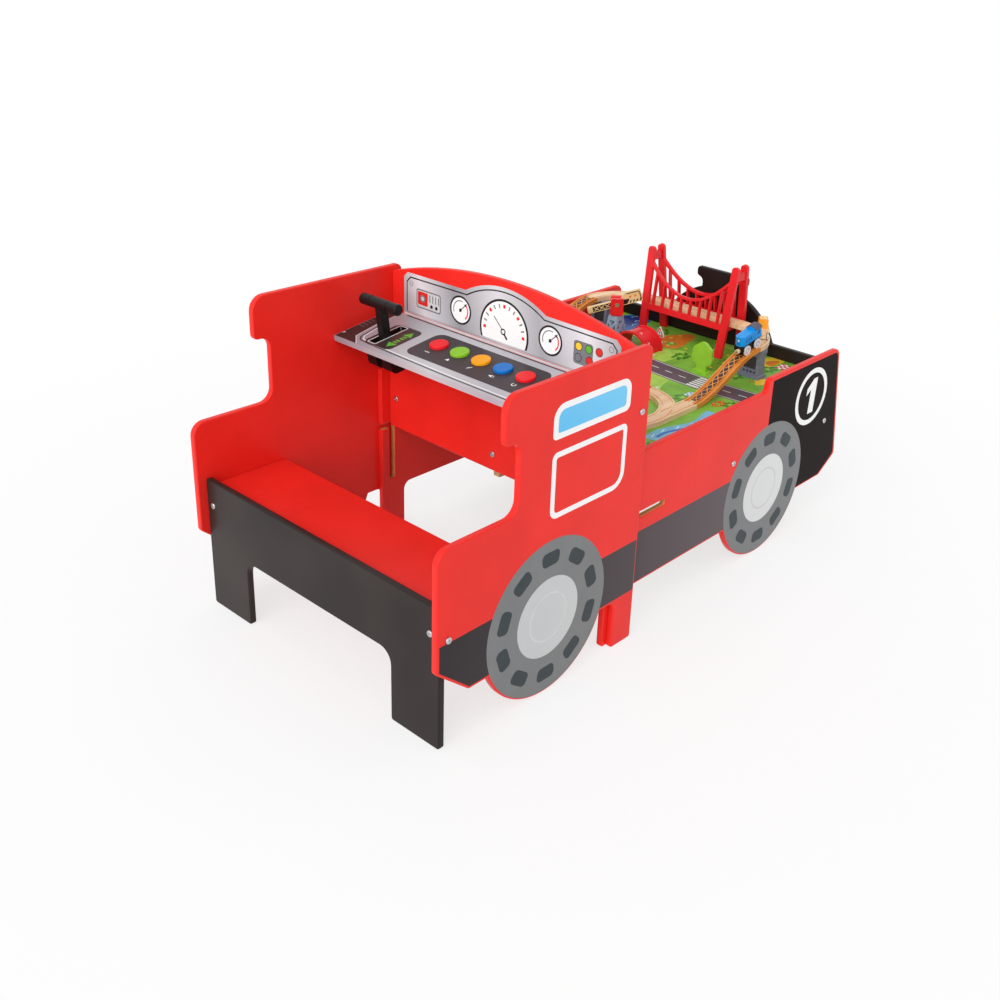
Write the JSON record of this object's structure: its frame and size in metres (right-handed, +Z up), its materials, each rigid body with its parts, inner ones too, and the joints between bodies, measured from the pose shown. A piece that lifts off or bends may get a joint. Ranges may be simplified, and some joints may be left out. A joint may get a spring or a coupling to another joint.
{
  "type": "train table",
  "caption": "Child-size play truck: seat and dash cab in front of a walled table with a wooden railway, suspension bridge, crane and train.",
  "frame": {"origin": "on the floor at the middle of the length and width", "axes": "+X to the table's nose, +Y to the side with the lever, +Z up"},
  "size_m": [1.4536, 0.757, 0.721],
  "materials": {
    "red_paint": "satin paint",
    "black_paint": "satin paint",
    "bare_wood": "bare",
    "dash_print": "printed lacquer",
    "tray_print": "printed lacquer",
    "black_plastic": "fine grain",
    "steel": "plated",
    "red_button": "gloss",
    "green_button": "gloss",
    "orange_button": "gloss",
    "blue_button": "gloss",
    "ramp_wood": "stained",
    "track_wood": "bare beech",
    "red_toy": "satin",
    "grey_toy": "satin",
    "blue_toy": "satin",
    "dark_roof": "satin",
    "train_wheel": "satin",
    "orange_toy": "satin",
    "green_toy": "painted",
    "boom_wood": "printed",
    "white_toy": "painted"
  },
  "bodies": {
    "table": {"cab_side_right": "red_paint", "cab_side_left": "red_paint", "seat_board": "red_paint", "bulkhead": "red_paint", "front_wall": "red_paint", "table_side_right": "red_paint", "table_side_left": "red_paint", "rear_leg_panel": "black_paint", "end_panel": "black_paint", "seat_battens": "bare_wood", "tray_battens": "bare_wood", "centre_rail": "bare_wood", "mid_beam": "bare_wood", "nose_beam": "bare_wood", "dash_shelf": "dash_print", "tray_board": "tray_print", "button_box": "black_plastic", "lever_bracket": "black_plastic", "loco_chassis": "black_plastic", "lever_pin": "steel", "bolts": "steel", "near_ramp": "ramp_wood", "far_ramp": "ramp_wood", "near_high_curve": "track_wood", "far_high_curve": "track_wood", "bridge_deck": "track_wood", "switch_track": "track_wood", "branch_curve": "track_wood", "back_curve_near": "track_wood", "back_straight": "track_wood", "back_curve_far": "track_wood", "far_straight": "track_wood", "wagon_body": "track_wood", "bridge_frame_rear": "red_toy", "bridge_frame_front": "red_toy", "bridge_ties": "red_toy", "tunnel": "red_toy", "buffer_stop": "red_toy", "bridge_piers": "grey_toy", "crane_tower": "grey_toy", "loco_body": "blue_toy", "loco_roof": "dark_roof", "wagon_load": "orange_toy", "tree": "green_toy", "road_sign": "white_toy"},
    "lever": {"lever_stem": "black_plastic", "lever_grip": "black_plastic"},
    "red_button_left": {"button_one": "red_button"},
    "green_button": {"button_two": "green_button"},
    "orange_button": {"button_three": "orange_button"},
    "blue_button": {"button_four": "blue_button"},
    "red_button_right": {"button_five": "red_button"},
    "loco_front_wheels": {"loco_front_axle": "train_wheel"},
    "loco_rear_wheels": {"loco_rear_axle": "train_wheel"},
    "wagon_front_wheels": {"wagon_front_axle": "train_wheel"},
    "wagon_rear_wheels": {"wagon_rear_axle": "train_wheel"},
    "crane_head": {"crane_cab": "red_toy", "crane_pin": "steel"},
    "crane_arm": {"crane_boom": "boom_wood"}
  },
  "joints": [
    {"name": "lever_swing", "type": "hinge", "parent": "table", "child": "lever", "pos_m": [-0.28382, 0.261, 0.49958], "axis": [0, 1, 0], "range_deg": [-24, 30]},
    {"name": "red_button_left_press", "type": "slide", "parent": "table", "child": "red_button_left", "axis": [0.1392, 0, -0.9903], "range_m": [0, 0.004], "stiffness_N_per_m": 250, "springref_m": -0.002},
    {"name": "green_button_press", "type": "slide", "parent": "table", "child": "green_button", "axis": [0.1392, 0, -0.9903], "range_m": [0, 0.004], "stiffness_N_per_m": 250, "springref_m": -0.002},
    {"name": "orange_button_press", "type": "slide", "parent": "table", "child": "orange_button", "axis": [0.1392, 0, -0.9903], "range_m": [0, 0.004], "stiffness_N_per_m": 250, "springref_m": -0.002},
    {"name": "blue_button_press", "type": "slide", "parent": "table", "child": "blue_button", "axis": [0.1392, 0, -0.9903], "range_m": [0, 0.004], "stiffness_N_per_m": 250, "springref_m": -0.002},
    {"name": "red_button_right_press", "type": "slide", "parent": "table", "child": "red_button_right", "axis": [0.1392, 0, -0.9903], "range_m": [0, 0.004], "stiffness_N_per_m": 250, "springref_m": -0.002},
    {"name": "loco_front_spin", "type": "hinge", "parent": "table", "child": "loco_front_wheels", "pos_m": [0.41506, -0.233, 0.49003], "axis": [0, 1, 0], "continuous": true},
    {"name": "loco_rear_spin", "type": "hinge", "parent": "table", "child": "loco_rear_wheels", "pos_m": [0.45888, -0.233, 0.49788], "axis": [0, 1, 0], "continuous": true},
    {"name": "wagon_front_spin", "type": "hinge", "parent": "table", "child": "wagon_front_wheels", "pos_m": [0.52801, -0.21624, 0.49635], "axis": [-0.5878, 0.809, 0], "continuous": true},
    {"name": "wagon_rear_spin", "type": "hinge", "parent": "table", "child": "wagon_rear_wheels", "pos_m": [0.54904, -0.20096, 0.49635], "axis": [-0.5878, 0.809, 0], "continuous": true},
    {"name": "crane_slew", "type": "hinge", "parent": "table", "child": "crane_head", "pos_m": [0.44116, 0.18, 0.468], "axis": [0, 0, 1], "continuous": true},
    {"name": "crane_luff", "type": "hinge", "parent": "crane_head", "child": "crane_arm", "pos_m": [0.44116, 0.18, 0.5003], "axis": [-0.766, -0.6428, 0], "range_deg": [-30, 6]}
  ]
}
